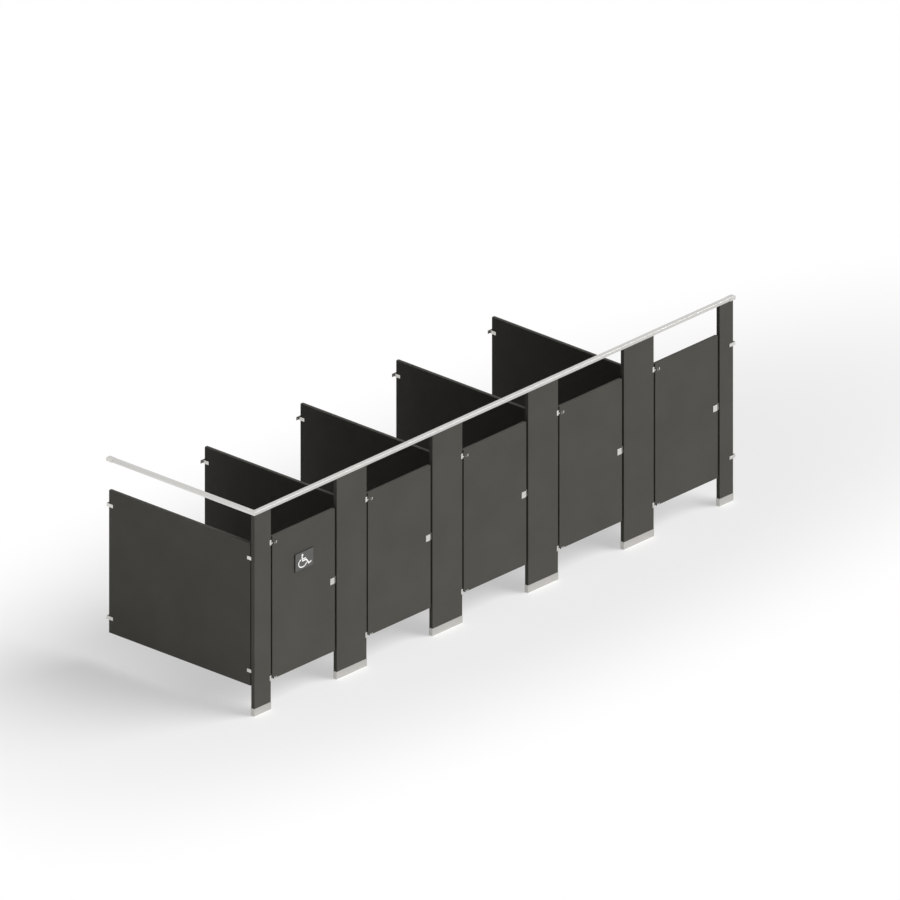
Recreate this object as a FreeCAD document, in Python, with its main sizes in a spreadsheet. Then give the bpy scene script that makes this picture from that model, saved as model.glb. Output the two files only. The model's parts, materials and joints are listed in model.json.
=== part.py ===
import FreeCAD, Part
import os
import re

import Sketcher

# Overhead-braced toilet partition: a row of stalls between a back wall and a right wall.
# While it is drawn, X runs along the row from the corner pilaster's left edge, Y runs from the
# pilasters' front faces to the back wall, and Z rises from the floor. Each sub-part's placement
# then moves the row so that the origin is the middle of its box on the floor.
# Lengths are in millimetres.

STALLS = 5

SIZES = {
    # Widths along the row
    "corner_width": 232,
    "pilaster_width": 419,
    "wall_pilaster_width": 191,
    "door_opening": 916,
    "door_gap": 20,
    "wall_gap": 26,
    # Boards: hollow steel leaves with a locking strip round their edges
    "pilaster_thick": 42,
    "leaf_thick": 36,
    "panel_thick": 38,
    "leaf_height": 1473,
    "floor_gap": 299,
    "panel_length": 1804,
    "panel_gap": 12,
    "end_inset": 4,
    "skin": 1,
    "edge_round": 3,
    "strip_width": 10,
    "strip_proud": 1,
    # Headrail
    "rail_under": 2073,
    "rail_width": 48,
    "rail_height": 32,
    "rail_wall": 2.5,
    "rail_grip": 24,
    "rail_clear": 0.1,
    "rail_lip": 4,
    "rail_bevel": 0.8,
    "groove_drop": 5,
    "groove_width": 1.6,
    "groove_depth": 1,
    "rail_screw_inset": 70,
    "rail_screw_rise": 14,
    "corner_plate_leg": 110,
    "corner_plate_width": 36,
    "corner_plate_thick": 3,
    "socket_base": 4,
    "socket_floor": 20,
    "socket_cheek": 70,
    "socket_sheet": 3,
    "socket_screw_in": 14,
    "socket_ear_drop": 20,
    # Feet
    "shoe_height": 76,
    "shoe_sheet": 1,
    "shoe_clear": 0.1,
    "foot_height": 44,
    "foot_plate": 6,
    "bar_thick": 8,
    "bar_width": 28,
    "bar_inset": 22,
    "anchor_edge": 14,
    "anchor_hole": 11,
    "stud_edge": 45,
    "stud_size": 10,
    "stud_above": 16,
    "nut_across": 17,
    "nut_height": 8,
    # Brackets
    "bracket_height": 34,
    "wall_wing": 54,
    "clasp_wing": 40,
    "bracket_sheet": 3,
    "bracket_clear": 0.1,
    "bracket_low": 154,
    "bracket_high": 156,
    "ear_width": 26,
    "ear_hole": 6.5,
    "ear_rise": 9,
    # Hinges
    "hinge_height": 52,
    "hinge_below": 8,
    "hinge_wing": 21,
    "hinge_sheet": 3,
    "hinge_bolt_edge": 10,
    "low_hinge_rise": 5,
    "top_hinge_drop": 69,
    "pivot_reach": 46,
    "arm_thick": 11,
    "arm_width": 22,
    "pin_size": 10,
    "pin_head": 16,
    "pin_head_rise": 2,
    "bush_size": 30,
    "spigot_size": 14,
    "spigot_above": 1,
    "running_fit": 0.05,
    "thrust_gap": 0.3,
    "notch_depth": 56,
    "notch_rise": 14,
    "notch_under": 11,
    "liner_roof": 4,
    "liner_sheet": 2,
    "liner_lip": 28,
    "front_flange": 7,
    "back_flange": 18,
    "flange_sheet": 2,
    # Latch
    "latch_level": 1032,
    "latch_width": 67,
    "latch_inset": 10,
    "latch_height": 64,
    "latch_sheet": 2,
    "latch_web": 2,
    "latch_bolt_edge": 11,
    "guide_length": 62,
    "guide_thick": 14,
    "guide_height": 26,
    "guide_end": 2,
    "bolt_length": 58,
    "bolt_thick": 8,
    "bolt_height": 19,
    "bolt_clear": 0.35,
    "bolt_travel": 26,
    "neck_size": 8,
    "neck_back": 51,
    "knob_size": 20,
    "knob_depth": 14,
    "knob_clear": 1.5,
    "stop_root": 12,
    "stop_height": 30,
    "stop_lip": 4,
    "stop_reach": 18,
    "bumper_thick": 2.6,
    "bumper_width": 12,
    "bumper_height": 26,
    "bumper_clear": 0.4,
    "strike_sheet": 2,
    "strike_width": 26,
    "strike_height": 66,
    "strike_margin": 1.5,
    "strike_screw_edge": 9,
    # Coat hook and sign
    "hook_level": 1650,
    "hook_plate_width": 38,
    "hook_plate_height": 64,
    "hook_plate_thick": 3,
    "hook_rod": 9,
    "hook_reach": 36,
    "hook_rise": 24,
    "hook_ball": 14,
    "hook_drop": 8,
    "hook_screw_rise": 25,
    "sign_level": 1392,
    "sign_width": 252,
    "sign_height": 180,
    "sign_thick": 10,
    # Fasteners
    "head_size": 10,
    "head_top": 6.5,
    "head_rise": 2.2,
    "drive_size": 4,
    "drive_depth": 1.2,
    "screw_size": 4.5,
    "screw_length": 14,
    "barrel_size": 7.5,
    "barrel_bore": 5.1,
    "barrel_bolt": 5,
    "barrel_short": 2,
    "barrel_floor": 3,
    "bolt_tip": 5,
    "hole_clear": 0.3,
    "press_gap": 0.02,
    # How far a cut runs past the face it opens
    "cut_past": 1,
}

doc = FreeCAD.newDocument("toilet_partition")
sheet = doc.addObject("Spreadsheet::Sheet", "Sizes")
for row, (alias, value) in enumerate(SIZES.items(), start=1):
    sheet.set(f"A{row}", alias)
    sheet.set(f"B{row}", str(value))
    sheet.setAlias(f"B{row}", alias)
doc.recompute()

ALIAS = re.compile(r"\b(" + "|".join(SIZES) + r")\b")
UP = FreeCAD.Vector(0, 0, 1)
ALONG_X = FreeCAD.Vector(1, 0, 0)
ALONG_Y = FreeCAD.Vector(0, 1, 0)
# Turns that point a piece's own +Z along the named direction
FACING = {
    "+z": FreeCAD.Rotation(),
    "+x": FreeCAD.Rotation(ALONG_Y, 90),
    "-x": FreeCAD.Rotation(ALONG_Y, -90),
    "+y": FreeCAD.Rotation(ALONG_X, -90),
    "-y": FreeCAD.Rotation(ALONG_X, 90),
}
# Turns that point a piece's own +X along the named direction
TO_BACK = FreeCAD.Rotation(UP, 90)
TO_FRONT = FreeCAD.Rotation(UP, -90)
TO_LEFT = FreeCAD.Rotation(UP, 180)
TO_FRONT_OVERTURNED = TO_FRONT.multiply(FreeCAD.Rotation(ALONG_X, 180))
nodes = []


# Formulas on the sheet

def formula(text):
    return ALIAS.sub(r"Sizes.\1", str(text))


def number(text):
    return float(sheet.evalExpression(formula(text)))


def bind(thing, prop, text):
    thing.setExpression(prop, formula(text))


def place(thing, at, turn=None):
    """Put a thing at three formulas, turned about its own origin."""
    if turn is not None:
        thing.Placement = FreeCAD.Placement(FreeCAD.Vector(), turn)
    for axis, text in zip("xyz", at):
        bind(thing, f"Placement.Base.{axis}", text)


# Solids and booleans

def box(at, size, turn=None):
    solid = doc.addObject("Part::Box", "Block")
    for prop, text in zip(("Length", "Width", "Height"), size):
        bind(solid, prop, text)
    place(solid, at, turn)
    return solid


def rod(at, facing, diameter, length):
    solid = doc.addObject("Part::Cylinder", "Rod")
    bind(solid, "Radius", f"({diameter}) / 2")
    bind(solid, "Height", length)
    place(solid, at, FACING[facing])
    return solid


def hexagon(at, across, length):
    solid = doc.addObject("Part::Prism", "Hexagon")
    solid.Polygon = 6
    bind(solid, "Circumradius", f"({across}) / sqrt(3)")
    bind(solid, "Height", length)
    place(solid, at)
    return solid


def ball(at, diameter):
    solid = doc.addObject("Part::Sphere", "Ball")
    bind(solid, "Radius", f"({diameter}) / 2")
    place(solid, at)
    return solid


def joined(solids):
    union = doc.addObject("Part::MultiFuse", "Union")
    union.Shapes = solids
    return union


def less(base, tools):
    """The base with every tool cut away."""
    rest = doc.addObject("Part::Cut", "Rest")
    rest.Base = base
    rest.Tool = joined(tools) if len(tools) > 1 else tools[0]
    return rest


def copy(master, at, turn=None):
    link = doc.addObject("App::Link", "Copy")
    link.LinkedObject = master
    place(link, at, turn)
    return link


def node(label, thing):
    """Name a finished sub-part and move it into the row's own frame."""
    thing.Label = label
    # The sockets' screw heads stand out furthest, as far to the left as to the front
    reach = f"({SOCKET_HALF} + head_rise - {MIDDLE})"
    bind(thing, "Placement.Base.x", f"({reach} - {WALL_X}) / 2")
    bind(thing, "Placement.Base.y", f"({reach} - {WALL_Y}) / 2")
    nodes.append(thing)


def group(label, things):
    compound = doc.addObject("Part::Compound", "Group")
    compound.Links = things
    node(label, compound)


# Sketched bodies

def outline(body, plane, points, offset):
    """A closed outline in one of the body's planes, every corner held by two formulas."""
    sketch = body.newObject("Sketcher::SketchObject", "Outline")
    plane_feature = [f for f in body.Origin.OriginFeatures if f.Role == plane][0]
    sketch.AttachmentSupport = [(plane_feature, "")]
    sketch.MapMode = "FlatFace"
    for axis, text in zip("xyz", offset):
        bind(sketch, f"AttachmentOffset.Base.{axis}", text)
    corners = [FreeCAD.Vector(number(x), number(y), 0) for x, y in points]
    count = len(corners)
    for i in range(count):
        sketch.addGeometry(Part.LineSegment(corners[i], corners[(i + 1) % count]))
    for i in range(count):
        sketch.addConstraint(Sketcher.Constraint("Coincident", i, 2, (i + 1) % count, 1))
    for i, pair in enumerate(points):
        for kind, across, text in (("DistanceX", -2, pair[0]), ("DistanceY", -1, pair[1])):
            if text == "0":
                sketch.addConstraint(Sketcher.Constraint("PointOnObject", i, 1, across))
            else:
                held = sketch.addConstraint(Sketcher.Constraint(kind, -1, 1, i, 1, number(text)))
                bind(sketch, f"Constraints[{held}]", text)
    return sketch


def padded(name, plane, points, length, reverse=False, offset=("0", "0", "0")):
    """A body whose outline is drawn out by a length."""
    body = doc.addObject("PartDesign::Body", name)
    profile = outline(body, plane, points, offset)
    pad = body.newObject("PartDesign::Pad", "Pad")
    pad.Profile = profile
    pad.Reversed = reverse
    bind(pad, "Length", length)
    return body


def rectangle(width, height):
    return [("0", "0"), (width, "0"), (width, height), ("0", height)]


def rounded(body, radius):
    """Round every edge of a body."""
    doc.recompute()
    base = body.Tip
    edges = [f"Edge{i + 1}" for i in range(len(base.Shape.Edges))]
    fillet = body.newObject("PartDesign::Fillet", "Fillet")
    fillet.Base = (base, edges)
    bind(fillet, "Radius", radius)
    return body


# Places along the row

def pilaster_left(i):
    if i == 0:
        return "0"
    return f"(corner_width + {i} * door_opening + {i - 1} * pilaster_width)"


def pilaster_span(i):
    if i == 0:
        return "corner_width"
    return "wall_pilaster_width" if i == STALLS else "pilaster_width"


def pilaster_right(i):
    return f"({pilaster_left(i)} + {pilaster_span(i)})"


def panel_middle(i):
    if i == 0:
        return "(end_inset + panel_thick / 2)"
    return f"({pilaster_left(i)} + pilaster_width / 2)"


WALL_X = f"({pilaster_right(STALLS)} + wall_gap)"
PANEL_START = "(pilaster_thick + panel_gap)"
PANEL_END = f"({PANEL_START} + panel_length)"
WALL_Y = f"({PANEL_END} + wall_gap)"
MIDDLE = "(pilaster_thick / 2)"
LEAF_FRONT = "((pilaster_thick - leaf_thick) / 2)"
LEAF_BACK = "((pilaster_thick + leaf_thick) / 2)"
RAIL_OVER = "((rail_width - pilaster_thick) / 2)"
LEAF_TOP = "(floor_gap + leaf_height)"
BRACKET_LEVELS = ("(floor_gap + bracket_low)", f"({LEAF_TOP} - bracket_high)")
HINGE_LEVELS = ("(floor_gap + low_hinge_rise)", f"({LEAF_TOP} - top_hinge_drop)")
PAN_EDGE = "(strip_proud + 2 * skin)"
PIVOT_X = [f"({pilaster_right(i)} + pivot_reach)" for i in range(STALLS)]
DOOR_LEFT = [f"({pilaster_right(i)} + door_gap)" for i in range(STALLS)]
DOOR_RIGHT = [f"({pilaster_left(i + 1)} - door_gap)" for i in range(STALLS)]
DOOR_WIDTH = "(door_opening - 2 * door_gap)"

pilaster_cuts = [[] for _ in range(STALLS + 1)]
panel_cuts = [[] for _ in range(STALLS)]
door_cuts = [[] for _ in range(STALLS)]


# Fasteners, each drawn with its head or heads along Z

def head(z, up):
    """A low tapered head with a hexagon drive, rising or hanging from a level."""
    cap = doc.addObject("Part::Cone", "Head")
    wide, narrow = "head_size / 2", "head_top / 2"
    bind(cap, "Radius1", wide if up else narrow)
    bind(cap, "Radius2", narrow if up else wide)
    bind(cap, "Height", "head_rise")
    place(cap, ("0", "0", z if up else f"{z} - head_rise"))
    drive_z = f"{z} + head_rise - drive_depth" if up else f"{z} - head_rise"
    return less(cap, [hexagon(("0", "0", drive_z), "drive_size", "drive_depth")])


def make_screw():
    """A screw whose head seats on its own XY plane and whose shank points down."""
    shank = rod(("0", "0", "-screw_length"), "+z", "screw_size", "screw_length")
    return joined([shank, head("0", True)])


def make_barrel_bolt(grip):
    """A bolt and its barrel nut, which clamp a grip that starts at the XY plane."""
    sleeve = rod(("0", "0", "0"), "+z", "barrel_size", f"{grip} - barrel_short")
    bore = rod(("0", "0", "barrel_floor"), "+z", "barrel_bore", grip)
    barrel = joined([less(sleeve, [bore]), head("0", False)])
    shank = rod(("0", "0", "bolt_tip"), "+z", "barrel_bolt", f"{grip} - bolt_tip")
    bolt = joined([shank, head(grip, True)])
    return [bolt, barrel]


BRACKET_GRIP = "(panel_thick + 2 * (bracket_clear + bracket_sheet))"
WALL_GRIP = "(pilaster_thick + 2 * (bracket_clear + bracket_sheet))"
HINGE_GRIP = "(pilaster_thick + 2 * hinge_sheet)"
LATCH_GRIP = "(leaf_thick + 2 * latch_sheet)"
BARREL_HOLE = "(barrel_size + 2 * hole_clear)"
SCREW_HOLE = "(screw_size + 2 * hole_clear)"
# A hole through one skin starts two skins deep and ends outside
SKIN_CUT = "(3 * skin)"

screw = make_screw()
bracket_bolt = make_barrel_bolt(BRACKET_GRIP)
wall_bolt = make_barrel_bolt(WALL_GRIP)
hinge_bolt = make_barrel_bolt(HINGE_GRIP)
latch_bolt = make_barrel_bolt(LATCH_GRIP)

bracket_bolts = []
hinge_bolts = []
fixing_screws = []


def bolted(pair, at, facing):
    return [copy(piece, at, FACING[facing]) for piece in pair]


def screwed(at, facing):
    return copy(screw, at, FACING[facing])


def through(at, facing, diameter, length):
    """A hole that starts at a face and runs past it and past the far face."""
    x, y, z = at
    if facing == "+x":
        x = f"{x} - cut_past"
    elif facing == "+y":
        y = f"{y} - cut_past"
    else:
        z = f"{z} - cut_past"
    return rod((x, y, z), facing, diameter, f"{length} + 2 * cut_past")


# Brackets: a wall plate with ears, and two wings that clasp a board's end

def ear_holes(ears):
    """Where a bracket's holes are: a side and a rise for each, a pair one above the other in a lone ear."""
    return [(-1, "0"), (1, "0")] if ears == 2 else [(-1, "-ear_rise"), (-1, "ear_rise")]


def make_bracket(thick, gap, wing, hole, ears):
    """The plate's back is at X = 0, the wings point along +X, and Y and Z run through the middle."""
    half = f"({thick} / 2 + bracket_clear + bracket_sheet)"
    reach = f"({gap} + {wing})"
    near = ["ear_width", "(ear_width + bracket_sheet)"]
    far = [f"(ear_width + 2 * {half} - bracket_sheet)", f"(ear_width + 2 * {half})"]
    plate = "bracket_sheet"
    points = [("0", "0"), (plate, "0"), (plate, near[0]), (reach, near[0]), (reach, near[1]),
              (plate, near[1]), (plate, far[0]), (reach, far[0]), (reach, far[1])]
    if ears == 2:
        wide = f"(2 * ear_width + 2 * {half})"
        points += [(plate, far[1]), (plate, wide), ("0", wide)]
    else:
        points += [("0", far[1])]
    body = padded("Bracket", "XY_Plane", points, "bracket_height",
                  offset=("0", f"-{half} - ear_width", "-bracket_height / 2"))
    holes = [through((f"{gap} + {wing} / 2", f"-{half}", "0"), "+y", BARREL_HOLE, f"2 * {half}")]
    for side, rise in ear_holes(ears):
        holes.append(through(("0", f"{side} * ({half} + ear_width / 2)", rise), "+x", hole, "bracket_sheet"))
    return less(body, holes)


def make_brackets():
    """The row's end panel and last pilaster show no ear on their outer sides."""
    panel_wall = make_bracket("panel_thick", "wall_gap", "wall_wing", "ear_hole", 2)
    end_wall = make_bracket("panel_thick", "wall_gap", "wall_wing", "ear_hole", 1)
    pilaster_wall = make_bracket("pilaster_thick", "wall_gap", "wall_wing", "ear_hole", 1)
    panel_pilaster = make_bracket("panel_thick", "panel_gap", "clasp_wing", SCREW_HOLE, 2)
    panel_corner = make_bracket("panel_thick", "panel_gap", "clasp_wing", SCREW_HOLE, 1)
    ear_offset = "(panel_thick / 2 + bracket_clear + bracket_sheet + ear_width / 2)"
    at_wall, at_pilaster = [], []
    for level in BRACKET_LEVELS:
        for i in range(STALLS):
            middle = panel_middle(i)
            ears = 1 if i == 0 else 2
            clasp = panel_corner if ears == 1 else panel_pilaster
            holder, turn = (end_wall, TO_FRONT_OVERTURNED) if ears == 1 else (panel_wall, TO_FRONT)
            at_wall.append(copy(holder, (middle, WALL_Y, level), turn))
            at_pilaster.append(copy(clasp, (middle, "pilaster_thick", level), TO_BACK))
            for y in (f"{PANEL_START} + clasp_wing / 2", f"{PANEL_END} - wall_wing / 2"):
                start = (f"{middle} - {BRACKET_GRIP} / 2", y, level)
                bracket_bolts.extend(bolted(bracket_bolt, start, "+x"))
                panel_cuts[i].append(through(start, "+x", BARREL_HOLE, BRACKET_GRIP))
            for side, rise in ear_holes(ears):
                # The clasp's turn brings its own -Y to +X
                x, z = f"{middle} - {side} * {ear_offset}", f"{level} + {rise}"
                fixing_screws.append(screwed((x, "pilaster_thick + bracket_sheet", z), "+y"))
                pilaster_cuts[i].append(rod((x, "pilaster_thick - 2 * skin", z), "+y",
                                            SCREW_HOLE, SKIN_CUT))
        x = f"{pilaster_right(STALLS)} - wall_wing / 2"
        at_wall.append(copy(pilaster_wall, (WALL_X, MIDDLE, level), TO_LEFT))
        bracket_bolts.extend(bolted(wall_bolt, (x, f"{MIDDLE} + {WALL_GRIP} / 2", level), "-y"))
        pilaster_cuts[STALLS].append(through((x, "0", level), "+y", BARREL_HOLE, "pilaster_thick"))
    group("wall_brackets", at_wall)
    group("pilaster_brackets", at_pilaster)


# Headrail: a channel over the pilasters' tops, mitred at the corner and socketed at both walls

def rail_profile():
    lip = "((rail_width - pilaster_thick) / 2 - rail_clear)"
    groove_top = "(rail_height - groove_drop)"
    groove_foot = "(rail_height - groove_drop - groove_width)"
    outer = [("0", "0"), ("0", groove_foot), ("groove_depth", groove_foot),
             ("groove_depth", groove_top), ("0", groove_top), ("0", "rail_height - rail_bevel"),
             ("rail_bevel", "rail_height")]
    inner = [(lip, "0"), (lip, "rail_lip"), ("rail_wall", "rail_lip"),
             ("rail_wall", "rail_height - rail_wall")]
    far_outer = [(f"rail_width - {u}", v) for u, v in outer]
    far_inner = [(f"rail_width - {u}", v) for u, v in inner]
    return outer + far_outer[::-1] + far_inner + inner[::-1]


RAIL_START = f"(-{RAIL_OVER})"
RAIL_END_GAP = "(socket_base + rail_clear)"
RAIL_SCREW_Z = "(rail_under + rail_screw_rise)"
SOCKET_HALF = "(rail_width / 2 + rail_clear + socket_sheet)"


def make_rails():
    front = padded("FrontRail", "YZ_Plane", rail_profile(), f"{WALL_X} - {RAIL_END_GAP} + {RAIL_OVER}")
    side = padded("ReturnRail", "XZ_Plane", rail_profile(),
                  f"{WALL_Y} - {RAIL_END_GAP} + {RAIL_OVER}", reverse=True)
    for rail in (front, side):
        place(rail, (RAIL_START, RAIL_START, "rail_under"))
    mitre_at = (f"{RAIL_START} - cut_past", f"{RAIL_START} - cut_past", "rail_under - cut_past")
    mitre_size = ("2 * rail_width", "2 * rail_width", "rail_height + 2 * cut_past")
    front_cuts = [box(mitre_at, mitre_size, FreeCAD.Rotation(UP, 45))]
    side_cuts = [box(mitre_at, mitre_size, FreeCAD.Rotation(UP, -45))]
    rail_back = f"(pilaster_thick + {RAIL_OVER})"
    for i in range(STALLS + 1):
        for x in (f"{pilaster_left(i)} + rail_screw_inset", f"{pilaster_right(i)} - rail_screw_inset"):
            fixing_screws.append(screwed((x, rail_back, RAIL_SCREW_Z), "+y"))
            front_cuts.append(through((x, f"{rail_back} - rail_wall", RAIL_SCREW_Z), "+y",
                                      SCREW_HOLE, "rail_wall"))
            pilaster_cuts[i].append(rod((x, "pilaster_thick - 2 * skin", RAIL_SCREW_Z), "+y",
                                        SCREW_HOLE, SKIN_CUT))
    make_corner_plate(front_cuts, side_cuts)
    make_sockets(front_cuts, side_cuts)
    node("headrail_front", less(front, front_cuts))
    node("headrail_return", less(side, side_cuts))


def make_corner_plate(front_cuts, side_cuts):
    """A flat angle under the mitred roof, held by a screw through each rail's roof."""
    low = "(rail_under + rail_height - rail_wall - corner_plate_thick)"
    start = f"({MIDDLE} - corner_plate_width / 2)"
    legs = [box((start, start, low), ("corner_plate_leg", "corner_plate_width", "corner_plate_thick")),
            box((start, start, low), ("corner_plate_width", "corner_plate_leg", "corner_plate_thick"))]
    far = f"({start} + corner_plate_leg - corner_plate_width / 2)"
    foot = "(rail_under + rail_height - screw_length)"
    holes = []
    for x, y, rail_cuts in ((far, MIDDLE, front_cuts), (MIDDLE, far, side_cuts)):
        fixing_screws.append(screwed((x, y, "rail_under + rail_height"), "+z"))
        hole = through((x, y, foot), "+z", SCREW_HOLE, "screw_length")
        holes.append(hole)
        rail_cuts.append(hole)
    # The front rail's screw also enters the corner pilaster's top
    pilaster_cuts[0].append(holes[0])
    node("headrail_corner_plate", less(joined(legs), holes))


def make_socket(side):
    """A wall plate with a lowered ear to one side, and an open cup for a rail's end that points along -X.

    The wall's face is at X = 0, and the floor stays short of the last pilaster.
    """
    low = "(-rail_clear - socket_sheet)"
    tall = f"(rail_height - {low})"
    ear_low = f"({low} - socket_ear_drop)"
    across = f"(2 * {SOCKET_HALF})"
    ear_y = SOCKET_HALF if side > 0 else f"-{SOCKET_HALF} - ear_width"
    solids = [
        box(("-socket_base", f"-{SOCKET_HALF}", low), ("socket_base", across, tall)),
        box(("-socket_base", ear_y, ear_low), ("socket_base", "ear_width", tall)),
        box(("-socket_base - socket_floor", f"-{SOCKET_HALF}", low), ("socket_floor", across, "socket_sheet"))]
    for y in (f"-{SOCKET_HALF}", f"{SOCKET_HALF} - socket_sheet"):
        solids.append(box(("-socket_base - socket_cheek", y, low), ("socket_cheek", "socket_sheet", tall)))
    holes = [through(("-socket_screw_in", f"-{SOCKET_HALF}", "rail_screw_rise"), "+y", SCREW_HOLE, across)]
    for rise in ("-ear_rise", "ear_rise"):
        ear = ("-socket_base", f"{side} * ({SOCKET_HALF} + ear_width / 2)", f"{ear_low} + {tall} / 2 + {rise}")
        holes.append(through(ear, "+x", "ear_hole", "socket_base"))
    return less(joined(solids), holes)


def make_sockets(front_cuts, side_cuts):
    """Both ears are on the row's inner side."""
    group("headrail_wall_sockets", [copy(make_socket(1), (WALL_X, MIDDLE, "rail_under")),
                                    copy(make_socket(-1), (MIDDLE, WALL_Y, "rail_under"), TO_BACK)])
    front_x = f"{WALL_X} - socket_screw_in"
    side_y = f"{WALL_Y} - socket_screw_in"
    near, far = f"{MIDDLE} - {SOCKET_HALF}", f"{MIDDLE} + {SOCKET_HALF}"
    fixing_screws.extend([screwed((front_x, near, RAIL_SCREW_Z), "-y"),
                          screwed((front_x, far, RAIL_SCREW_Z), "+y"),
                          screwed((near, side_y, RAIL_SCREW_Z), "-x"),
                          screwed((far, side_y, RAIL_SCREW_Z), "+x")])
    across = f"2 * {SOCKET_HALF}"
    front_cuts.append(through((front_x, near, RAIL_SCREW_Z), "+y", SCREW_HOLE, across))
    side_cuts.append(through((near, side_y, RAIL_SCREW_Z), "+x", SCREW_HOLE, across))


# Feet: a floor bar with levelling studs and nuts, hidden by a shoe

def make_feet():
    shoes, bars, studs, nuts = [], [], [], []
    stud_hole = "(stud_size + 2 * press_gap)"
    stud = rod(("0", "0", "0"), "+z", "stud_size", "foot_height + foot_plate + stud_above")
    nut = less(hexagon(("0", "0", "0"), "nut_across", "nut_height"),
               [through(("0", "0", "0"), "+z", stud_hole, "nut_height")])
    wrap = "(shoe_clear + shoe_sheet)"
    for i in range(STALLS + 1):
        left, right, span = pilaster_left(i), pilaster_right(i), pilaster_span(i)
        outer = box((f"{left} - {wrap}", f"-{wrap}", "0"),
                    (f"{span} + 2 * {wrap}", f"pilaster_thick + 2 * {wrap}", "shoe_height"))
        inner = box((f"{left} - shoe_clear", "-shoe_clear", "-cut_past"),
                    (f"{span} + 2 * shoe_clear", "pilaster_thick + 2 * shoe_clear",
                     "shoe_height + 2 * cut_past"))
        shoes.append(less(outer, [inner]))
        bar = box((f"{left} + bar_inset", f"{MIDDLE} - bar_width / 2", "0"),
                  (f"{span} - 2 * bar_inset", "bar_width", "bar_thick"))
        holes = []
        for x in (f"{left} + bar_inset + anchor_edge", f"{right} - bar_inset - anchor_edge"):
            holes.append(through((x, MIDDLE, "0"), "+z", "anchor_hole", "bar_thick"))
        for x in (f"{left} + bar_inset + stud_edge", f"{right} - bar_inset - stud_edge"):
            holes.append(through((x, MIDDLE, "0"), "+z", stud_hole, "bar_thick"))
            studs.append(copy(stud, (x, MIDDLE, "0")))
            nuts.append(copy(nut, (x, MIDDLE, "foot_height - nut_height")))
            nuts.append(copy(nut, (x, MIDDLE, "foot_height + foot_plate")))
            pilaster_cuts[i].append(through((x, MIDDLE, "foot_height"), "+z",
                                            "stud_size + 2 * hole_clear", "foot_plate"))
        bars.append(less(bar, holes))
    group("pilaster_shoes", shoes)
    group("floor_bars", bars)
    group("levelling_studs", studs)
    group("levelling_nuts", nuts)


# Hinges: a bracket wrapped round the pilaster's edge, its arm in a lined notch of the door

PIN_HOLE = "(pin_size + 2 * press_gap)"
BUSH_SHOULDER = "(notch_rise - thrust_gap)"
SPIGOT_TOP = "(notch_rise + liner_roof + spigot_above)"
HINGE_BOLT_RISES = ("(hinge_bolt_edge - hinge_below)", "(hinge_height - hinge_below - hinge_bolt_edge)")


def make_hinge_bracket():
    """The pilaster's edge is at X = 0, its front face at Y = 0 and the arm's middle at Z = 0."""
    low = "-hinge_below"
    wing = ("hinge_wing + hinge_sheet", "hinge_sheet", "hinge_height")
    arm_low = "-arm_thick / 2"
    solids = [
        box(("-hinge_wing", "-hinge_sheet", low), wing),
        box(("-hinge_wing", "pilaster_thick", low), wing),
        box(("0", "-hinge_sheet", low), ("hinge_sheet", HINGE_GRIP, "hinge_height")),
        box(("0", f"{MIDDLE} - arm_width / 2", arm_low), ("pivot_reach", "arm_width", "arm_thick")),
        rod(("pivot_reach", MIDDLE, arm_low), "+z", "arm_width", "arm_thick")]
    holes = [through(("pivot_reach", MIDDLE, arm_low), "+z", PIN_HOLE, "arm_thick")]
    for rise in HINGE_BOLT_RISES:
        holes.append(through(("-hinge_wing / 2", "-hinge_sheet", rise), "+y", BARREL_HOLE, HINGE_GRIP))
    return less(joined(solids), holes)


def make_pin():
    """A headed pin up through the arm's eye and the bush."""
    foot = "-arm_thick / 2"
    return joined([rod(("0", "0", foot), "+z", "pin_size", f"arm_thick / 2 + {SPIGOT_TOP}"),
                   rod(("0", "0", f"{foot} - pin_head_rise"), "+z", "pin_head", "pin_head_rise")])


def make_bush():
    """A cap over the arm's end, open below, with a spigot that the door's liner turns on."""
    foot = "-arm_thick / 2"
    width = "(arm_width + 2 * hole_clear)"
    low, tall = f"{foot} - cut_past", "arm_thick + cut_past"
    cap = rod(("0", "0", foot), "+z", "bush_size", f"{BUSH_SHOULDER} - ({foot})")
    spigot = rod(("0", "0", "arm_thick / 2"), "+z", "spigot_size", f"{SPIGOT_TOP} - arm_thick / 2")
    room = [box(("-bush_size", f"-{width} / 2", low), ("bush_size", width, tall)),
            rod(("0", "0", low), "+z", width, tall)]
    pin_hole = through(("0", "0", "0"), "+z", PIN_HOLE, SPIGOT_TOP)
    return less(joined([cap, spigot]), room + [pin_hole])


def make_hinges():
    brackets, pins, bushes = [], [], []
    bracket, pin, bush = make_hinge_bracket(), make_pin(), make_bush()
    for i in range(STALLS):
        edge = pilaster_right(i)
        for level in HINGE_LEVELS:
            brackets.append(copy(bracket, (edge, "0", level)))
            pins.append(copy(pin, (PIVOT_X[i], MIDDLE, level)))
            bushes.append(copy(bush, (PIVOT_X[i], MIDDLE, level)))
            for rise in HINGE_BOLT_RISES:
                x, z = f"{edge} - hinge_wing / 2", f"{level} + {rise}"
                hinge_bolts.extend(bolted(hinge_bolt, (x, "pilaster_thick + hinge_sheet", z), "-y"))
                pilaster_cuts[i].append(through((x, "0", z), "+y", BARREL_HOLE, "pilaster_thick"))
    group("hinge_brackets", brackets)
    group("hinge_pins", pins)
    group("hinge_bushes", bushes)


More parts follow.
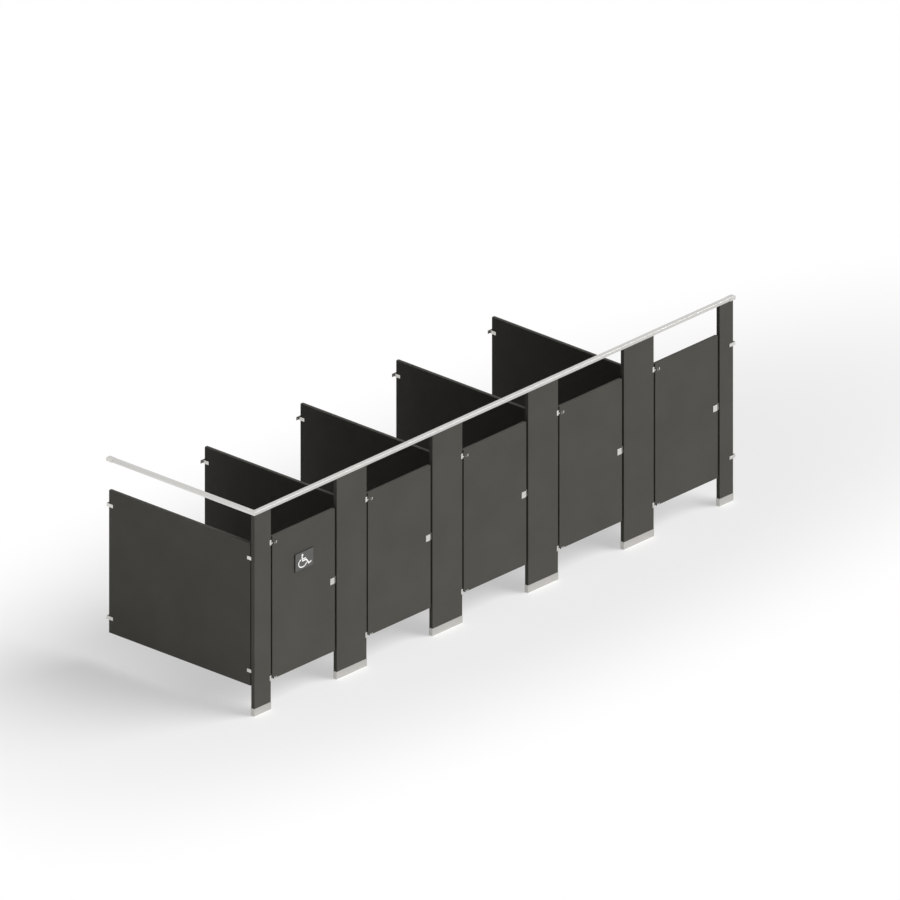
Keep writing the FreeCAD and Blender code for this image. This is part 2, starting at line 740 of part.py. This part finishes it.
def make_liner(i, level, low, has_floor):
    """A notch's lining: a roof between the skins that turns on the bush, and an end wall with a flange
    on each face and, where the notch has a floor, a lip at its foot."""
    left = DOOR_LEFT[i]
    top = f"({level} + notch_rise)"
    tall = f"({top} - {low})"
    wall_x = f"({left} + notch_depth - liner_sheet)"
    face = f"({LEAF_FRONT} - flange_sheet)"
    solids = [
        box((f"{left} + {PAN_EDGE}", f"{LEAF_FRONT} + skin", top),
            (f"notch_depth - {PAN_EDGE}", "leaf_thick - 2 * skin", "liner_roof")),
        box((wall_x, face, low), ("liner_sheet", "leaf_thick + 2 * flange_sheet", tall)),
        box((wall_x, face, low), ("front_flange + liner_sheet", "flange_sheet", tall)),
        box((wall_x, LEAF_BACK, low), ("back_flange + liner_sheet", "flange_sheet", tall))]
    if has_floor:
        solids.append(box((f"{left} + notch_depth - liner_lip", LEAF_FRONT, low),
                          ("liner_lip", "leaf_thick", "liner_sheet")))
    screw_x = f"{left} + notch_depth + back_flange / 2"
    screw_z = f"{low} + {tall} / 2"
    holes = [through((PIVOT_X[i], MIDDLE, top), "+z", "spigot_size + 2 * running_fit", "liner_roof"),
             through((screw_x, LEAF_BACK, screw_z), "+y", SCREW_HOLE, "flange_sheet")]
    notch_low = low if has_floor else f"({low} - cut_past)"
    door_cuts[i].append(box((f"{left} - cut_past", f"{LEAF_FRONT} - cut_past", notch_low),
                            ("notch_depth + cut_past", "leaf_thick + 2 * cut_past", f"{top} - {notch_low}")))
    door_cuts[i].append(rod((screw_x, f"{LEAF_BACK} - 2 * skin", screw_z), "+y", SCREW_HOLE, SKIN_CUT))
    return less(joined(solids), holes), screwed((screw_x, f"{LEAF_BACK} + flange_sheet", screw_z), "+y")


# Latch: a housing wrapped round the door's free edge, with a bolt slid by its inside knob

LIP_FACE = "(pilaster_thick + bumper_thick + bumper_clear)"
NECK_SLOT = "(neck_size + 2 * bolt_clear)"


def neck_slot(i, depth):
    """The room that the knob's neck needs on its way, from the door's middle towards its inner side."""
    start = f"{DOOR_RIGHT[i]} - neck_back - {NECK_SLOT} / 2"
    return box((start, MIDDLE, f"latch_level - {NECK_SLOT} / 2"),
               (f"bolt_travel + {NECK_SLOT}", depth, NECK_SLOT))


def make_latch_housing(i):
    """The plate on the door's face, the guide with its back plate and edge web, and their bolts."""
    right = DOOR_RIGHT[i]
    left = f"({right} - latch_width)"
    low = "(latch_level - latch_height / 2)"
    face = f"({LEAF_FRONT} - latch_sheet)"
    plate = box((left, face, low), ("latch_width - latch_inset", "latch_sheet", "latch_height"))
    stop_low = "latch_level - stop_height / 2"
    solids = [
        box((left, LEAF_BACK, low), ("latch_width + latch_web", "latch_sheet", "latch_height")),
        box((right, LEAF_FRONT, low), ("latch_web", "leaf_thick + latch_sheet", "latch_height")),
        box((f"{right} - guide_length", f"{MIDDLE} - guide_thick / 2", "latch_level - guide_height / 2"),
            ("guide_length + latch_web", "guide_thick", "guide_height")),
        box((f"{right} - stop_root", LEAF_BACK, stop_low),
            ("stop_root + latch_web", f"{LIP_FACE} + stop_lip - {LEAF_BACK}", "stop_height")),
        box((right, LIP_FACE, stop_low), ("door_gap + stop_reach", "stop_lip", "stop_height"))]
    channel = box((f"{right} - guide_length + guide_end", f"{MIDDLE} - bolt_thick / 2 - bolt_clear",
                   "latch_level - bolt_height / 2 - bolt_clear"),
                  ("guide_length + latch_web", "bolt_thick + 2 * bolt_clear",
                   "bolt_height + 2 * bolt_clear"))
    slots = [channel, neck_slot(i, f"{LEAF_BACK} + latch_sheet + cut_past - {MIDDLE}")]
    mortise = "(guide_length + hole_clear)"
    door_cuts[i].append(box((f"{right} - {mortise}", f"{MIDDLE} - guide_thick / 2 - hole_clear",
                             "latch_level - guide_height / 2 - hole_clear"),
                            (f"{mortise} + cut_past", "guide_thick + 2 * hole_clear",
                             "guide_height + 2 * hole_clear")))
    door_cuts[i].append(neck_slot(i, f"{LEAF_BACK} + cut_past - {MIDDLE}"))
    holes, bolts = [], []
    for x in (f"{left} + latch_bolt_edge", f"{right} - latch_inset - latch_bolt_edge"):
        for side in (-1, 1):
            z = f"latch_level + {side} * (latch_height / 2 - latch_bolt_edge)"
            holes.append(through((x, face, z), "+y", BARREL_HOLE, LATCH_GRIP))
            door_cuts[i].append(through((x, LEAF_FRONT, z), "+y", BARREL_HOLE, "leaf_thick"))
            bolts += bolted(latch_bolt, (x, f"{LEAF_BACK} + latch_sheet", z), "-y")
    return [less(plate, holes), less(joined(solids), slots + holes)], bolts


def make_latch_bolt(i):
    right = DOOR_RIGHT[i]
    neck_x = f"{right} - neck_back"
    knob_y = f"({LEAF_BACK} + latch_sheet + knob_clear)"
    return joined([
        box((f"{right} + latch_web - bolt_length", f"{MIDDLE} - bolt_thick / 2",
             "latch_level - bolt_height / 2"), ("bolt_length", "bolt_thick", "bolt_height")),
        rod((neck_x, MIDDLE, "latch_level"), "+y", "neck_size", f"{knob_y} + knob_depth / 2 - {MIDDLE}"),
        rod((neck_x, knob_y, "latch_level"), "+y", "knob_size", "knob_depth")])


def make_strikes():
    strikes, bumpers = [], []
    slot_thick = "(bolt_thick + 2 * strike_margin)"
    slot_height = "(bolt_height + 2 * strike_margin)"
    screw_rise = "(strike_height / 2 - strike_screw_edge)"
    depth = f"(strike_sheet + {PAN_EDGE})"
    for i in range(STALLS):
        edge = pilaster_left(i + 1)
        plate_x = f"({edge} - strike_sheet)"
        plate = box((plate_x, f"{MIDDLE} - strike_width / 2", "latch_level - strike_height / 2"),
                    ("strike_sheet", "strike_width", "strike_height"))
        holes = [box((f"{plate_x} - cut_past", f"{MIDDLE} - {slot_thick} / 2",
                      f"latch_level - {slot_height} / 2"),
                     (f"{depth} + 2 * cut_past", slot_thick, slot_height))]
        for side in (-1, 1):
            seat = (plate_x, MIDDLE, f"latch_level + {side} * {screw_rise}")
            holes.append(through(seat, "+x", SCREW_HOLE, depth))
            fixing_screws.append(screwed(seat, "-x"))
        pilaster_cuts[i + 1] += holes
        strikes.append(less(plate, holes))
        bumpers.append(box((f"{edge} + stop_reach - bumper_width", "pilaster_thick",
                            "latch_level - bumper_height / 2"),
                           ("bumper_width", "bumper_thick", "bumper_height")))
    group("strike_plates", strikes)
    group("stop_bumpers", bumpers)


# Coat hook on a door's inner face, and the sign on the first door's outer face

def make_coat_hook(i):
    x = f"({DOOR_LEFT[i]} + {DOOR_WIDTH} / 2)"
    tip_y = f"({LEAF_BACK} + hook_reach)"
    rod_z = "(hook_level - hook_drop)"
    tip_z = f"({rod_z} + hook_rise)"
    solids = [
        box((f"{x} - hook_plate_width / 2", LEAF_BACK, "hook_level - hook_plate_height / 2"),
            ("hook_plate_width", "hook_plate_thick", "hook_plate_height")),
        rod((x, LEAF_BACK, rod_z), "+y", "hook_rod", "hook_reach"),
        ball((x, tip_y, rod_z), "hook_rod"),
        rod((x, tip_y, rod_z), "+z", "hook_rod", "hook_rise"),
        ball((x, tip_y, tip_z), "hook_ball")]
    holes, screws = [], []
    for side in (-1, 1):
        z = f"hook_level + {side} * hook_screw_rise"
        holes.append(through((x, LEAF_BACK, z), "+y", SCREW_HOLE, "hook_plate_thick"))
        door_cuts[i].append(rod((x, f"{LEAF_BACK} - 2 * skin", z), "+y", SCREW_HOLE, SKIN_CUT))
        screws.append(screwed((x, f"{LEAF_BACK} + hook_plate_thick", z), "+y"))
    return less(joined(solids), holes), screws


def make_sign():
    start = f"{DOOR_LEFT[0]} + {DOOR_WIDTH} / 2 - sign_width / 2"
    plate = box((start, f"{LEAF_FRONT} - sign_thick", "sign_level - sign_height / 2"),
                ("sign_width", "sign_thick", "sign_height"))
    group("door_1_sign", [plate])


# Boards

def make_leaf(at, size, floor):
    """A hollow leaf: rounded pans, a locking strip proud of their edges, and the hollow between skins."""
    x, y, z = at
    width, depth, height = size
    crosswise = width == "panel_thick"
    # How far the pans stand back from the strip, and the hollow from the outside, along X and Y
    back_x, back_y = ("0", "strip_proud") if crosswise else ("strip_proud", "0")
    wall_x, wall_y = ("skin", PAN_EDGE) if crosswise else (PAN_EDGE, "skin")
    pans = rounded(padded("Pans", "XY_Plane",
                          rectangle(f"({width} - 2 * {back_x})", f"({depth} - 2 * {back_y})"),
                          f"{height} - 2 * strip_proud"), "edge_round")
    place(pans, (f"{x} + {back_x}", f"{y} + {back_y}", f"{z} + strip_proud"))
    if crosswise:
        strip = box((f"{x} + ({width} - strip_width) / 2", y, z), ("strip_width", depth, height))
    else:
        strip = box((x, f"{y} + ({depth} - strip_width) / 2", z), (width, "strip_width", height))
    hollow = box((f"{x} + {wall_x}", f"{y} + {wall_y}", f"{z} + {floor}"),
                 (f"{width} - 2 * {wall_x}", f"{depth} - 2 * {wall_y}",
                  f"{height} - {floor} - {PAN_EDGE}"))
    return less(joined([pans, strip]), [hollow])


def make_pilasters():
    height = "(rail_under + rail_grip - foot_height)"
    for i in range(STALLS + 1):
        leaf = make_leaf((pilaster_left(i), "0", "foot_height"),
                         (pilaster_span(i), "pilaster_thick", height), "foot_plate")
        label = "corner_pilaster" if i == 0 else "wall_pilaster" if i == STALLS else f"pilaster_{i + 1}"
        node(label, less(leaf, pilaster_cuts[i]))


def make_panels():
    for i in range(STALLS):
        leaf = make_leaf((f"({panel_middle(i)} - panel_thick / 2)", PANEL_START, "floor_gap"),
                         ("panel_thick", "panel_length", "leaf_height"), PAN_EDGE)
        node("end_panel" if i == 0 else f"divider_panel_{i}", less(leaf, panel_cuts[i]))


def make_doors():
    low_level, top_level = HINGE_LEVELS
    for i in range(STALLS):
        name = f"door_{i + 1}"
        low_liner, low_screw = make_liner(i, low_level, "floor_gap", False)
        top_liner, top_screw = make_liner(i, top_level, f"({top_level} - notch_under)", True)
        housing, housing_bolts = make_latch_housing(i)
        hook, hook_screws = make_coat_hook(i)
        leaf = make_leaf((DOOR_LEFT[i], LEAF_FRONT, "floor_gap"),
                         (DOOR_WIDTH, "leaf_thick", "leaf_height"), PAN_EDGE)
        # A sill closes the hollow under the upper notch, let into the skins and the edge
        sill = box((f"{DOOR_LEFT[i]} + {PAN_EDGE} / 2", f"{LEAF_FRONT} + skin / 2",
                    f"{top_level} - notch_under - skin"),
                   (f"notch_depth - {PAN_EDGE} / 2", "leaf_thick - skin", "skin"))
        node(f"{name}_leaf", less(joined([leaf, sill]), door_cuts[i]))
        group(f"{name}_hinge_liners", [low_liner, top_liner])
        group(f"{name}_latch_housing", housing)
        node(f"{name}_latch_bolt", make_latch_bolt(i))
        node(f"{name}_coat_hook", hook)
        group(f"{name}_fasteners", [low_screw, top_screw] + housing_bolts + hook_screws)


# The boards come last, because every other piece adds its holes to them
make_brackets()
make_rails()
make_feet()
make_hinges()
make_strikes()
make_sign()
make_doors()
make_pilasters()
make_panels()
group("bracket_bolts", bracket_bolts)
group("hinge_bolts", hinge_bolts)
group("fixing_screws", fixing_screws)

doc.recompute()
for thing in doc.Objects:
    if "Invalid" in thing.State or "Error" in thing.State:
        raise RuntimeError(f"{thing.Label} failed: {thing.State}")
for thing in nodes:
    if thing.Shape.isNull() or not thing.Shape.isValid() or not thing.Shape.Solids:
        raise RuntimeError(f"{thing.Label} has no valid shape")

os.makedirs("parts", exist_ok=True)
for thing in nodes:
    thing.Shape.exportStep(f"parts/{thing.Label}.step")
    print(thing.Label, len(thing.Shape.Solids), "solids")
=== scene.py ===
import json
import math

import bmesh
import bpy
from mathutils import Matrix, Vector


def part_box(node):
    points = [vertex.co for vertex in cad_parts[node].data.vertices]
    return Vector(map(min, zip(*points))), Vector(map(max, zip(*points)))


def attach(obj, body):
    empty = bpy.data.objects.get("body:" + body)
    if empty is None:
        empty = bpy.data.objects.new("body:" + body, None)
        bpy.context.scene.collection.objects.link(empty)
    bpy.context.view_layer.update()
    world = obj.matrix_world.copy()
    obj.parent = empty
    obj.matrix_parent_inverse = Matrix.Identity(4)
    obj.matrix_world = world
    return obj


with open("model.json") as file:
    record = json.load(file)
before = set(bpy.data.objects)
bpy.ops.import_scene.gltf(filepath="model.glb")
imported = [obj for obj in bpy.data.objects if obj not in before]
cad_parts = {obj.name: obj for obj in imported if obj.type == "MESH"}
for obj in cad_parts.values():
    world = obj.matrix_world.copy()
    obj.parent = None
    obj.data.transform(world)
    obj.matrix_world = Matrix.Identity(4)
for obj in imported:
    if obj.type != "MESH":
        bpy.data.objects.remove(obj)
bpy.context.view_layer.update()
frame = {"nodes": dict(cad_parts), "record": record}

# Every place is in metres, in the row's frame: X along the doors, Y to the back wall, Z up.
nodes = frame["nodes"]
scene = bpy.context.scene
scene.view_settings.view_transform = "Standard"


# Camera: the photograph is a parallel projection, so one scale and one anchor place it

FRAME_PIXELS = 900
PIXELS_PER_METRE = 106.3
AZIMUTH = math.radians(-47.58)
ELEVATION = math.radians(24.38)
# Where the corner pilaster's front left corner meets the floor, in pixels
ANCHOR_PIXEL = (254.35, 716.6)
CAMERA_DISTANCE = 14.0


def make_camera():
    right = Vector((math.cos(AZIMUTH), math.sin(AZIMUTH), 0))
    back = Vector((math.sin(AZIMUTH) * math.cos(ELEVATION),
                   -math.cos(AZIMUTH) * math.cos(ELEVATION), math.sin(ELEVATION)))
    up = back.cross(right)
    low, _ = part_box("corner_pilaster")
    anchor = Vector((low[0], low[1], 0))
    middle = FRAME_PIXELS / 2
    aside = (middle - ANCHOR_PIXEL[0]) / PIXELS_PER_METRE
    above = (ANCHOR_PIXEL[1] - middle) / PIXELS_PER_METRE
    data = bpy.data.cameras.new("camera")
    data.type = "ORTHO"
    data.ortho_scale = FRAME_PIXELS / PIXELS_PER_METRE
    camera = bpy.data.objects.new("camera", data)
    scene.collection.objects.link(camera)
    turn = Matrix((right, up, back)).transposed().to_4x4()
    place = anchor + right * aside + up * above + back * CAMERA_DISTANCE
    camera.matrix_world = Matrix.Translation(place) @ turn
    scene.camera = camera


make_camera()


# Material helpers

# Noise seldom leaves this part of its range
NOISE_LOW, NOISE_HIGH = 0.3, 0.7


class Look:
    """A material with one principled shader, and short calls for the nodes that feed it."""

    def __init__(self, name):
        self.material = bpy.data.materials.new(name)
        self.material.use_nodes = True
        self.tree = self.material.node_tree
        self.shader = self.tree.nodes["Principled BSDF"]
        self.place = self.tree.nodes.new("ShaderNodeTexCoord").outputs["Object"]

    def set(self, **values):
        for name, value in values.items():
            self.shader.inputs[name.replace("_", " ")].default_value = value
        return self

    def link(self, out, socket):
        self.tree.links.new(out, self.shader.inputs[socket])

    def stretched(self, scale):
        """The place, stretched along each axis."""
        mapping = self.tree.nodes.new("ShaderNodeMapping")
        mapping.inputs["Scale"].default_value = scale
        self.tree.links.new(self.place, mapping.inputs["Vector"])
        return mapping.outputs["Vector"]

    def noise(self, scale, detail, place=None):
        node = self.tree.nodes.new("ShaderNodeTexNoise")
        node.inputs["Scale"].default_value = scale
        node.inputs["Detail"].default_value = detail
        self.tree.links.new(place or self.place, node.inputs["Vector"])
        return node.outputs["Fac"]

    def between(self, noise, low, high):
        """A number that runs from low to high as the noise runs over its range."""
        node = self.tree.nodes.new("ShaderNodeMapRange")
        node.inputs["From Min"].default_value = NOISE_LOW
        node.inputs["From Max"].default_value = NOISE_HIGH
        node.inputs["To Min"].default_value = low
        node.inputs["To Max"].default_value = high
        self.tree.links.new(noise, node.inputs["Value"])
        return node.outputs["Result"]

    def tinted(self, noise, colour, darkest, lightest):
        """A colour that runs between two shares of itself as the noise runs over its range."""
        ramp = self.tree.nodes.new("ShaderNodeValToRGB")
        ends = ramp.color_ramp.elements
        for end, at, share in zip(ends, (NOISE_LOW, NOISE_HIGH), (darkest, lightest)):
            end.position = at
            end.color = (*[part * share for part in colour], 1)
        self.tree.links.new(noise, ramp.inputs["Fac"])
        return ramp.outputs["Color"]

    def bump(self, height, distance, strength, under=None):
        node = self.tree.nodes.new("ShaderNodeBump")
        node.inputs["Strength"].default_value = strength
        node.inputs["Distance"].default_value = distance
        self.tree.links.new(height, node.inputs["Height"])
        if under is not None:
            self.tree.links.new(under, node.inputs["Normal"])
        return node.outputs["Normal"]


def powder_coat(name, colour):
    """Baked powder: a satin film with fine orange peel, slow waves and faint wiped patches."""
    look = Look(name)
    patches = look.noise(scale=2.3, detail=5)
    look.link(look.tinted(patches, colour, 0.94, 1.06), "Base Color")
    look.link(look.between(look.noise(scale=6, detail=6), 0.40, 0.52), "Roughness")
    waves = look.bump(look.noise(scale=14, detail=2), distance=0.0006, strength=0.25)
    peel = look.bump(look.noise(scale=650, detail=2), distance=0.00012, strength=0.5, under=waves)
    look.link(peel, "Normal")
    return look.set(Specular_IOR_Level=0.05).material


def brushed(name, colour, along, roughness):
    """Metal with fine lines drawn along one axis, and a slow change of sheen."""
    look = Look(name)
    fine, long = 900, 6
    stretch = [long if axis == along else fine for axis in "xyz"]
    lines = look.noise(scale=1, detail=3, place=look.stretched(stretch))
    look.link(look.tinted(lines, colour, 0.93, 1.04), "Base Color")
    look.link(look.between(lines, roughness - 0.05, roughness + 0.07), "Roughness")
    look.link(look.bump(lines, distance=0.00006, strength=0.5), "Normal")
    return look.set(Metallic=1.0).material


def plated(name, colour, roughness):
    """Cast and plated metal: a soft sheen with faint casting ripple and handling haze."""
    look = Look(name)
    haze = look.noise(scale=55, detail=5)
    look.link(look.tinted(haze, colour, 0.95, 1.03), "Base Color")
    look.link(look.between(haze, roughness - 0.06, roughness + 0.08), "Roughness")
    ripple = look.noise(scale=420, detail=2)
    look.link(look.bump(ripple, distance=0.00005, strength=0.5), "Normal")
    return look.set(Metallic=1.0).material


def moulded(name, colour, roughness, grain):
    """Moulded plastic or rubber with a fine grain."""
    look = Look(name)
    tone = look.noise(scale=40, detail=4)
    look.link(look.tinted(tone, colour, 0.88, 1.12), "Base Color")
    look.link(look.between(tone, roughness - 0.05, roughness + 0.05), "Roughness")
    look.link(look.bump(look.noise(scale=grain, detail=2), distance=0.0001, strength=0.4), "Normal")
    return look.material


GREY = (0.072, 0.070, 0.062)
RAIL = (0.565, 0.56, 0.545)
looks = {
    "powder_grey": powder_coat("powder_grey", GREY),
    "rail_x": brushed("rail_aluminium_x", RAIL, "x", roughness=0.46),
    "rail_y": brushed("rail_aluminium_y", RAIL, "y", roughness=0.46),
    "shoe_stainless": brushed("shoe_stainless", (0.56, 0.545, 0.52), "x", roughness=0.36),
    "bright_hardware": plated("bright_hardware", (0.64, 0.63, 0.60), roughness=0.34),
    "fastener_steel": plated("fastener_steel", (0.58, 0.57, 0.55), roughness=0.34),
    "zinc_steel": plated("zinc_steel", (0.56, 0.57, 0.58), roughness=0.42),
    "black_nylon": moulded("black_nylon", (0.012, 0.012, 0.012), roughness=0.5, grain=700),
    "bumper_rubber": moulded("bumper_rubber", (0.015, 0.015, 0.015), roughness=0.7, grain=500),
    "sign_plate": moulded("sign_plate", (0.012, 0.012, 0.012), roughness=0.5, grain=600),
    "sign_face": moulded("sign_face", (0.068, 0.068, 0.063), roughness=0.45, grain=600),
    "sign_white": moulded("sign_white", (0.86, 0.86, 0.84), roughness=0.45, grain=600),
}


def dress(piece, look):
    piece.data.materials.clear()
    piece.data.materials.append(looks[look])


for entry in frame["record"]["subparts"]:
    node, slot = entry["node"], entry["material_slot"]
    # The brushed lines follow each rail
    if slot == "rail_aluminium":
        slot = "rail_x" if node == "headrail_front" else "rail_y"
    dress(nodes[node], slot)


# Sign: a grey face sheet and a raised pictogram of plain strokes, on the plate of the first door

SHEET_RISE = 0.0006
SHEET_INSET = 0.0015
SHEET_CORNER = 0.004
# How far a sheet or stroke is let into what it lies on
SINK = 0.0004
# Sides of a half circle at a stroke's end, and of a sheet's rounded corner
CAP_STEPS = 10
# A stroke's corner reaches out at most to its half width over this
LEAST_MITRE = 0.5
# The pictogram's places are across and up from the plate's lower left corner
HEAD_MIDDLE = (0.098, 0.147)
HEAD_RADIUS = 0.013
HEAD_STEPS = 4 * CAP_STEPS
WHEEL_MIDDLE = (0.101, 0.066)
WHEEL_SIZE = (0.056, 0.042)
# Degrees along the wheel's open rim
WHEEL_FROM, WHEEL_TO, WHEEL_STEP = 118, 345, 7
WHEEL = [(WHEEL_MIDDLE[0] + WHEEL_SIZE[0] * math.cos(math.radians(a)),
          WHEEL_MIDDLE[1] + WHEEL_SIZE[1] * math.sin(math.radians(a)))
         for a in range(WHEEL_FROM, WHEEL_TO + 1, WHEEL_STEP)]
# The back, the arm, the seat with the leg, and the wheel, each as a width and its points
STROKES = [
    (0.015, [(0.093, 0.130), (0.100, 0.086)]),
    (0.012, [(0.097, 0.105), (0.141, 0.105)]),
    (0.014, [(0.100, 0.086), (0.154, 0.086), (0.187, 0.038), (0.217, 0.049)]),
    (0.012, WHEEL),
]


def ring_points(middle, radius, start, turn, steps):
    angles = [start + turn * i / steps for i in range(steps + 1)]
    return [middle + radius * Vector((math.cos(a), math.sin(a))) for a in angles]


def left_of(way):
    return Vector((-way.y, way.x))


def stroke_outline(points, width):
    """The outline of a round-ended stroke, to the left of its points and then back on their right."""
    points = [Vector(p) for p in points]
    half = width / 2
    ways = [(b - a).normalized() for a, b in zip(points, points[1:])]
    lefts, rights = [], []
    for point, before, after in zip(points[1:-1], ways, ways[1:]):
        across = left_of((before + after).normalized())
        reach = half / max(LEAST_MITRE, across.dot(left_of(after)))
        lefts.append(point + across * reach)
        rights.append(point - across * reach)
    first, last = ways[0], ways[-1]
    end = ring_points(points[-1], half, math.atan2(last.y, last.x) + math.pi / 2, -math.pi, CAP_STEPS)
    start = ring_points(points[0], half, math.atan2(first.y, first.x) - math.pi / 2, -math.pi, CAP_STEPS)
    return lefts + end + rights[::-1] + start


def prism(name, outline, low, face):
    """A flat solid of an outline on the plate, from just under a face to a little proud of it."""
    mesh = bpy.data.meshes.new(name)
    shape = bmesh.new()
    rims = []
    for y in (face - SHEET_RISE, face + SINK):
        rims.append([shape.verts.new((low[0] + p.x, y, low[2] + p.y)) for p in outline])
    shape.faces.new(rims[0])
    shape.faces.new(rims[1][::-1])
    count = len(outline)
    for i in range(count):
        j = (i + 1) % count
        shape.faces.new((rims[0][j], rims[0][i], rims[1][i], rims[1][j]))
    bmesh.ops.recalc_face_normals(shape, faces=shape.faces)
    shape.to_mesh(mesh)
    shape.free()
    piece = bpy.data.objects.new(name, mesh)
    scene.collection.objects.link(piece)
    return piece


def on_sign(piece, look):
    dress(piece, look)
    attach(piece, "door_1")


def make_sign_face():
    low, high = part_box("door_1_sign")
    width, height = high[0] - low[0], high[2] - low[2]
    inner = SHEET_INSET + SHEET_CORNER
    corners = [(width - inner, height - inner), (inner, height - inner), (inner, inner), (width - inner, inner)]
    outline = []
    for i, corner in enumerate(corners):
        outline += ring_points(Vector(corner), SHEET_CORNER, i * math.pi / 2, math.pi / 2, CAP_STEPS)
    on_sign(prism("door_1_sign_face", outline, low, low[1]), "sign_face")


def make_pictogram():
    low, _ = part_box("door_1_sign")
    face = low[1] - SHEET_RISE
    head = ring_points(Vector(HEAD_MIDDLE), HEAD_RADIUS, 0, 2 * math.pi, HEAD_STEPS)[:-1]
    outlines = [stroke_outline(points, width) for width, points in STROKES] + [head]
    parts = [prism(f"pictogram_{i}", outline, low, face) for i, outline in enumerate(outlines)]
    whole = parts[0]
    whole.name = "door_1_pictogram"
    for part in parts[1:]:
        join = whole.modifiers.new("join", "BOOLEAN")
        join.operation = "UNION"
        join.solver = "EXACT"
        join.object = part
        bpy.context.view_layer.objects.active = whole
        bpy.ops.object.modifier_apply(modifier=join.name)
        bpy.data.objects.remove(part)
    on_sign(whole, "sign_white")


make_sign_face()
make_pictogram()


# Stage: a pale floor that fades to white, and plain soft light

FLOOR_HALF = 60
FLOOR_DROP = 0.0005
FLOOR_COLOUR = (0.86, 0.86, 0.855, 1)
# The floor's share of plain white grows over ovals round the row, counted in these half spans
OVAL_X, OVAL_Y = 3.5, 1.2
FADE_FROM, FADE_TO = 1.2, 3.0
FADE_LEAST = 0.5
WHITE = (1, 1, 1, 1)
AMBIENT = 0.08


def seen_by(tree):
    """One where the camera, a reflection or a see-through surface looks, and zero for other light."""
    path = tree.nodes.new("ShaderNodeLightPath")
    total = path.outputs["Is Camera Ray"]
    for name in ("Is Glossy Ray", "Is Transmission Ray"):
        most = tree.nodes.new("ShaderNodeMath")
        most.operation = "MAXIMUM"
        tree.links.new(total, most.inputs[0])
        tree.links.new(path.outputs[name], most.inputs[1])
        total = most.outputs[0]
    return total


def mixed(tree, share, first, second):
    """Two shaders, by the second's share."""
    mix = tree.nodes.new("ShaderNodeMixShader")
    for out, socket in zip((share, first, second), mix.inputs):
        tree.links.new(out, socket)
    return mix.outputs[0]


def make_floor():
    mesh = bpy.data.meshes.new("floor")
    corners = [(-1, -1), (1, -1), (1, 1), (-1, 1)]
    mesh.from_pydata([(x * FLOOR_HALF, y * FLOOR_HALF, -FLOOR_DROP) for x, y in corners], [], [(0, 1, 2, 3)])
    floor = bpy.data.objects.new("floor", mesh)
    scene.collection.objects.link(floor)
    look = Look("floor")
    look.set(Base_Color=FLOOR_COLOUR, Roughness=0.9, Specular_IOR_Level=0.1)
    tree = look.tree
    # Far from the row the floor is plain white to the camera
    distance = tree.nodes.new("ShaderNodeVectorMath")
    distance.operation = "LENGTH"
    tree.links.new(look.stretched((1 / OVAL_X, 1 / OVAL_Y, 1)), distance.inputs[0])
    fade = tree.nodes.new("ShaderNodeMapRange")
    fade.interpolation_type = "SMOOTHSTEP"
    fade.inputs["From Min"].default_value = FADE_FROM
    fade.inputs["From Max"].default_value = FADE_TO
    fade.inputs["To Min"].default_value = FADE_LEAST
    tree.links.new(distance.outputs["Value"], fade.inputs["Value"])
    share = tree.nodes.new("ShaderNodeMath")
    share.operation = "MULTIPLY"
    tree.links.new(fade.outputs["Result"], share.inputs[0])
    tree.links.new(seen_by(tree), share.inputs[1])
    white = tree.nodes.new("ShaderNodeEmission")
    surface = mixed(tree, share.outputs[0], look.shader.outputs[0], white.outputs[0])
    tree.links.new(surface, tree.nodes["Material Output"].inputs["Surface"])
    mesh.materials.append(look.material)


def make_world():
    """A faint even light, and plain white where the camera or a reflection looks at the sky."""
    world = bpy.data.worlds.new("world")
    scene.world = world
    world.use_nodes = True
    tree = world.node_tree
    plain = tree.nodes["Background"]
    plain.inputs["Color"].default_value = WHITE
    plain.inputs["Strength"].default_value = AMBIENT
    white = tree.nodes.new("ShaderNodeBackground")
    white.inputs["Color"].default_value = WHITE
    surface = mixed(tree, seen_by(tree), plain.outputs[0], white.outputs[0])
    tree.links.new(surface, tree.nodes["World Output"].inputs["Surface"])


def make_sun(way, strength, spread):
    """The sun stands in the direction of the way, and is a disc of so many degrees."""
    data = bpy.data.lights.new("key", "SUN")
    data.energy = strength
    data.angle = math.radians(spread)
    lamp = bpy.data.objects.new("key", data)
    scene.collection.objects.link(lamp)
    lamp.matrix_world = Vector(way).to_track_quat("Z", "Y").to_matrix().to_4x4()


def make_lamp(name, place, aim, size, watts):
    data = bpy.data.lights.new(name, "AREA")
    data.shape = "RECTANGLE"
    data.size, data.size_y = size
    data.energy = watts
    lamp = bpy.data.objects.new(name, data)
    scene.collection.objects.link(lamp)
    way = Vector(aim) - Vector(place)
    lamp.matrix_world = Matrix.Translation(place) @ way.to_track_quat("-Z", "Y").to_matrix().to_4x4()


make_floor()
make_world()
make_sun(way=(0.52, -0.62, 0.59), strength=3.6, spread=50)
# A low fill for the row's left end, which the end panel keeps out of the stalls
make_lamp("fill", place=(-9.0, 0.0, 1.0), aim=(-3.3, 0.0, 1.0), size=(6, 2), watts=100)
